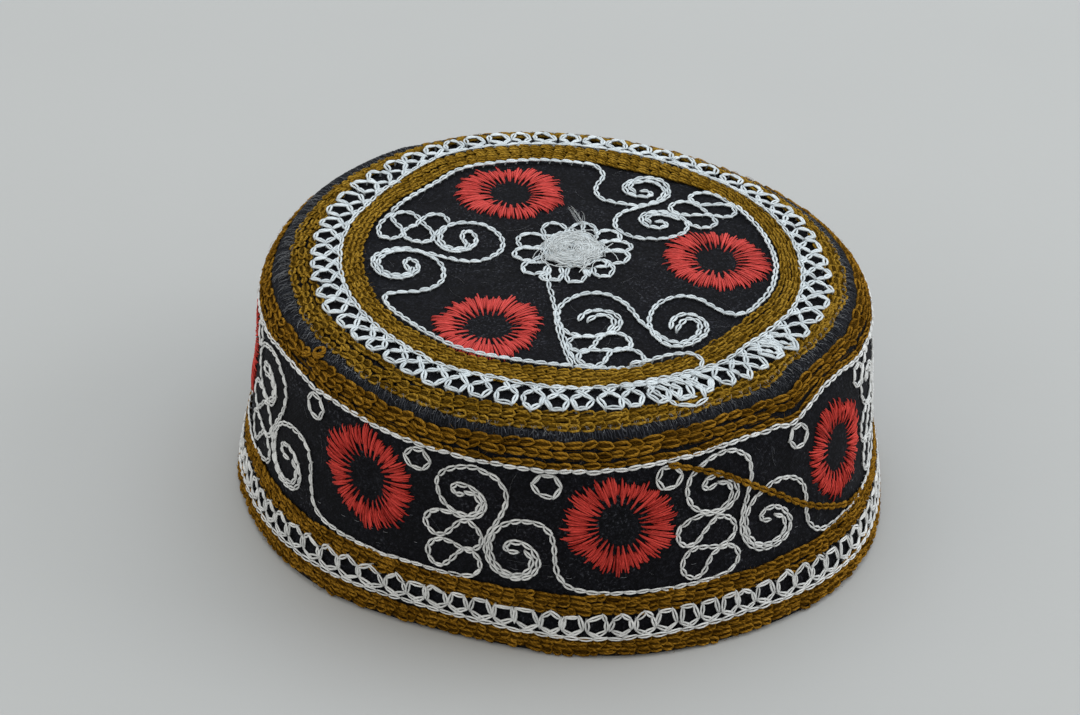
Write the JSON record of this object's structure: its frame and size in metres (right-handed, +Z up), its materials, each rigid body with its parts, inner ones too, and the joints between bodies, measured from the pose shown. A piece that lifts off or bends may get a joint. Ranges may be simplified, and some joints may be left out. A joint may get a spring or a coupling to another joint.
{
  "type": "tubeteika skullcap",
  "caption": "Stiff round skullcap of black cloth with a flat crown and an upright side band, embroidered with ochre chain-stitch bands, white scrolls and red rosettes.",
  "frame": {"origin": "middle of the cap's box, on the surface that the hem rests on", "axes": "+Z up out of the crown; +Y along the long axis of the slightly oval hem; +X completes a right-handed frame"},
  "size_m": [0.1868, 0.1936, 0.0721],
  "materials": {
    "black_cloth": "matt black woollen cloth",
    "ochre_thread": "matt ochre chain-stitch thread",
    "seam_thread": "dark overcast seam with fine grey thread",
    "white_thread": "white chain-stitch thread with a slight sheen",
    "red_thread": "red satin-stitch thread with a soft sheen"
  },
  "bodies": {
    "root": {"crown": "black_cloth", "side_band": "black_cloth", "crown_gold_inner": "ochre_thread", "crown_gold_outer": "ochre_thread", "side_gold_upper": "ochre_thread", "side_gold_lower": "ochre_thread", "hem_gold": "ochre_thread", "crown_seam": "seam_thread"}
  },
  "joints": []
}
